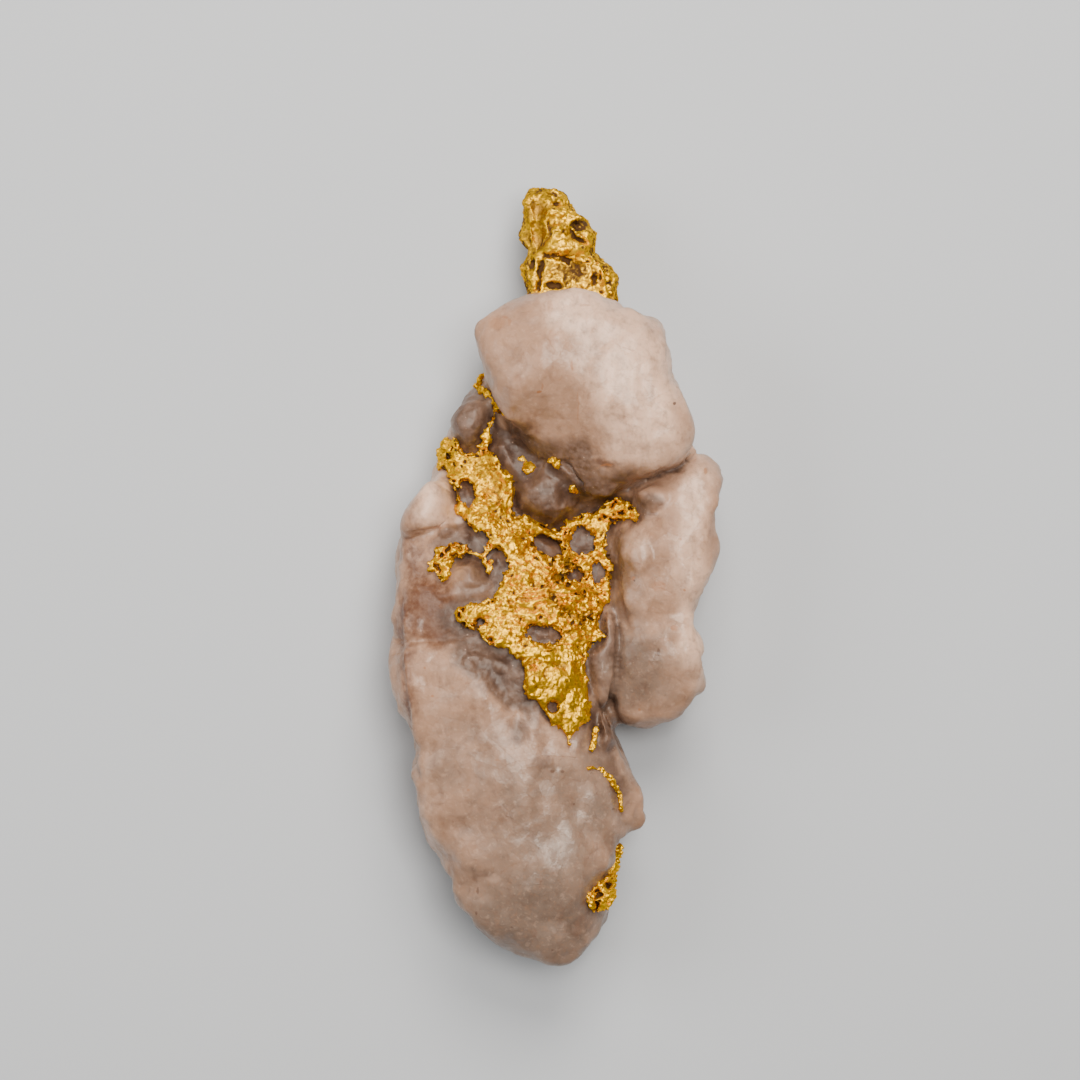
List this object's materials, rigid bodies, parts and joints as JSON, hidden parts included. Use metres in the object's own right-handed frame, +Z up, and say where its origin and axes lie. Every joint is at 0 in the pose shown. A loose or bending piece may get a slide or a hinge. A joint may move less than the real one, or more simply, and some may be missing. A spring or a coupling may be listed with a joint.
{
  "type": "gold nugget",
  "caption": "Natural gold in milky quartz: a long lobed hand specimen with a bare gold crown at one end and a spongy gold sheet across its recessed face, lying on its back.",
  "frame": {"origin": "the middle of the specimen's box, at the level it rests on", "axes": "+Y along the specimen, towards the gold crown; +Z up, out of the face with the gold sheet; +X to the right of that face"},
  "size_m": [0.0257, 0.0617, 0.0165],
  "materials": {
    "quartz": "milky, waxy, stained orange and smoky grey-brown in the recess",
    "native_gold": "bare native gold, spongy, with brown dirt in its pits"
  },
  "bodies": {
    "root": {"quartz_matrix": "quartz", "gold_crown": "native_gold", "gold_sheet": "native_gold", "gold_fleck_left": "native_gold", "gold_fleck_middle": "native_gold", "gold_fleck_right": "native_gold", "gold_thread_middle": "native_gold", "gold_thread_long": "native_gold", "gold_flank_patch": "native_gold"}
  },
  "joints": []
}
